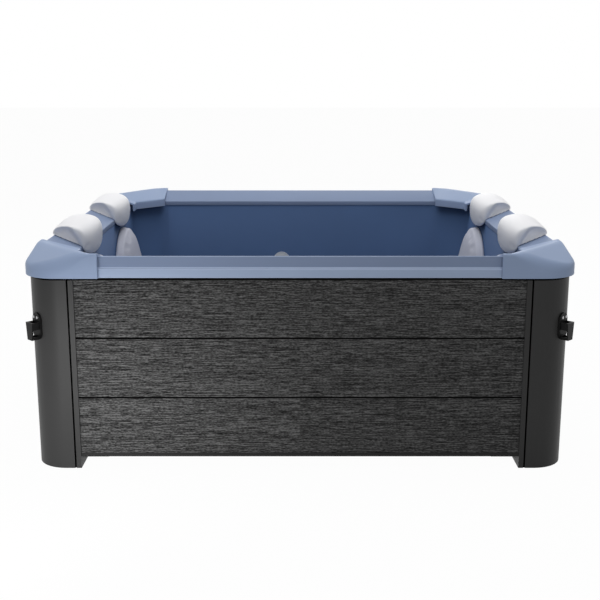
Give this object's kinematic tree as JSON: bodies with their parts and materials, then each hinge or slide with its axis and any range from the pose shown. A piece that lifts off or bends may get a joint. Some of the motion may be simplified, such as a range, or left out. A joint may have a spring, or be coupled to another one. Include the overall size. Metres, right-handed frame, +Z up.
{
  "type": "portable spa",
  "caption": "Square portable hot tub with planked rigid panels, rounded corner posts, a foam rim with corner caps, head pillows, backrest pads and rear-wall water equipment.",
  "frame": {"origin": "on the ground in the middle of the tub's plan", "axes": "+Z up, +X to the right and -Y to the front, seen from the front"},
  "size_m": [1.85, 1.85, 0.79],
  "materials": {
    "post_plastic": "satin moulded plastic",
    "sill_plastic": "satin moulded plastic",
    "plank_grain": "dark grey, brushed wood grain",
    "wall_foam": "closed-cell foam",
    "rail_foam": "skinned soft foam",
    "cap_foam": "skinned soft foam",
    "pillow_foam": "skinned soft foam",
    "backrest_foam": "skinned soft foam",
    "clip_plastic": "satin moulded plastic",
    "screw_steel": "zinc plated",
    "liner_sheet": "coated sheet, satin",
    "mat_foam": "closed-cell foam",
    "ring_plastic": "moulded plastic",
    "tray_plastic": "moulded plastic",
    "pump_plastic": "moulded plastic",
    "impeller_plastic": "moulded plastic",
    "heater_steel": "drawn stainless steel",
    "blower_plastic": "moulded plastic",
    "hose_rubber": "smooth rubber hose",
    "fitting_plastic": "moulded plastic",
    "filter_fabric": "pleated non-woven",
    "drain_plastic": "moulded plastic",
    "control_plastic": "fine texture",
    "display_glass": "dark gloss window",
    "button_plastic": "soft-touch"
  },
  "bodies": {
    "frame": {"post_front_left": "post_plastic", "post_front_right": "post_plastic", "post_rear_left": "post_plastic", "post_rear_right": "post_plastic", "sill_strips": "sill_plastic", "plank_front_low": "plank_grain", "plank_front_middle": "plank_grain", "plank_front_top": "plank_grain", "plank_rear_low": "plank_grain", "plank_rear_middle": "plank_grain", "plank_rear_top": "plank_grain", "plank_left_low": "plank_grain", "plank_left_middle": "plank_grain", "plank_left_top": "plank_grain", "plank_right_low": "plank_grain", "plank_right_middle": "plank_grain", "plank_right_top": "plank_grain", "foam_board_front": "wall_foam", "foam_board_rear": "wall_foam", "foam_board_left": "wall_foam", "foam_board_right": "wall_foam", "rim_rail_front": "rail_foam", "rim_rail_rear": "rail_foam", "rim_rail_left": "rail_foam", "rim_rail_right": "rail_foam", "corner_cap_front_left": "cap_foam", "corner_cap_front_right": "cap_foam", "corner_cap_rear_left": "cap_foam", "corner_cap_rear_right": "cap_foam", "cover_clips": "clip_plastic", "screws": "screw_steel", "liner": "liner_sheet", "base_mat": "mat_foam", "bubble_ring": "ring_plastic", "equipment_tray": "tray_plastic", "pump_body": "pump_plastic", "heater_tube": "heater_steel", "blower_body": "blower_plastic", "hoses": "hose_rubber", "filter_housing": "fitting_plastic", "filter_cartridge": "filter_fabric", "return_fitting": "fitting_plastic", "drain_valve": "drain_plastic", "control_unit": "control_plastic", "display_window": "display_glass"},
    "pillow_front_left": {"pillow_front_left": "pillow_foam"},
    "pillow_front_right": {"pillow_front_right": "pillow_foam"},
    "pillow_rear_left": {"pillow_rear_left": "pillow_foam"},
    "pillow_rear_right": {"pillow_rear_right": "pillow_foam"},
    "backrest_front_left": {"backrest_front_left": "backrest_foam"},
    "backrest_front_right": {"backrest_front_right": "backrest_foam"},
    "backrest_rear_left": {"backrest_rear_left": "backrest_foam"},
    "backrest_rear_right": {"backrest_rear_right": "backrest_foam"},
    "impeller": {"pump_impeller": "impeller_plastic"},
    "wheel": {"blower_wheel": "impeller_plastic"},
    "filter_cap": {"filter_cap": "fitting_plastic"},
    "drain_cap": {"drain_cap": "drain_plastic"},
    "heat_button": {"heat_button": "button_plastic"},
    "filter_button": {"filter_button": "button_plastic"},
    "bubble_button": {"bubble_button": "button_plastic"}
  },
  "joints": [
    {"name": "pillow_front_left_lift", "type": "slide", "parent": "frame", "child": "pillow_front_left", "axis": [0, 0, 1], "range_m": [0, 0.15]},
    {"name": "pillow_front_right_lift", "type": "slide", "parent": "frame", "child": "pillow_front_right", "axis": [0, 0, 1], "range_m": [0, 0.15]},
    {"name": "pillow_rear_left_lift", "type": "slide", "parent": "frame", "child": "pillow_rear_left", "axis": [0, 0, 1], "range_m": [0, 0.15]},
    {"name": "pillow_rear_right_lift", "type": "slide", "parent": "frame", "child": "pillow_rear_right", "axis": [0, 0, 1], "range_m": [0, 0.15]},
    {"name": "backrest_front_left_pull_off", "type": "slide", "parent": "frame", "child": "backrest_front_left", "axis": [1, 0, 0], "range_m": [0, 0.06]},
    {"name": "backrest_front_right_pull_off", "type": "slide", "parent": "frame", "child": "backrest_front_right", "axis": [-1, 0, 0], "range_m": [0, 0.06]},
    {"name": "backrest_rear_left_pull_off", "type": "slide", "parent": "frame", "child": "backrest_rear_left", "axis": [1, 0, 0], "range_m": [0, 0.06]},
    {"name": "backrest_rear_right_pull_off", "type": "slide", "parent": "frame", "child": "backrest_rear_right", "axis": [-1, 0, 0], "range_m": [0, 0.06]},
    {"name": "impeller_spin", "type": "hinge", "parent": "frame", "child": "impeller", "pos_m": [0.14, 0.849, 0.2], "axis": [1, 0, 0], "continuous": true},
    {"name": "blower_spin", "type": "hinge", "parent": "frame", "child": "wheel", "pos_m": [-0.2, 0.849, 0.25], "axis": [0, 1, 0], "continuous": true},
    {"name": "filter_cap_turn", "type": "hinge", "parent": "frame", "child": "filter_cap", "pos_m": [0.229, 0.68, 0.2], "axis": [0, 1, 0], "range_deg": [0, 60]},
    {"name": "drain_cap_turn", "type": "hinge", "parent": "frame", "child": "drain_cap", "pos_m": [0.42, 0.915, 0.085], "axis": [0, 1, 0], "continuous": true},
    {"name": "heat_button_press", "type": "slide", "parent": "frame", "child": "heat_button", "axis": [0, -1, 0], "range_m": [0, 0.002], "stiffness_N_per_m": 500},
    {"name": "filter_button_press", "type": "slide", "parent": "frame", "child": "filter_button", "axis": [0, -1, 0], "range_m": [0, 0.002], "stiffness_N_per_m": 500},
    {"name": "bubble_button_press", "type": "slide", "parent": "frame", "child": "bubble_button", "axis": [0, -1, 0], "range_m": [0, 0.002], "stiffness_N_per_m": 500}
  ]
}
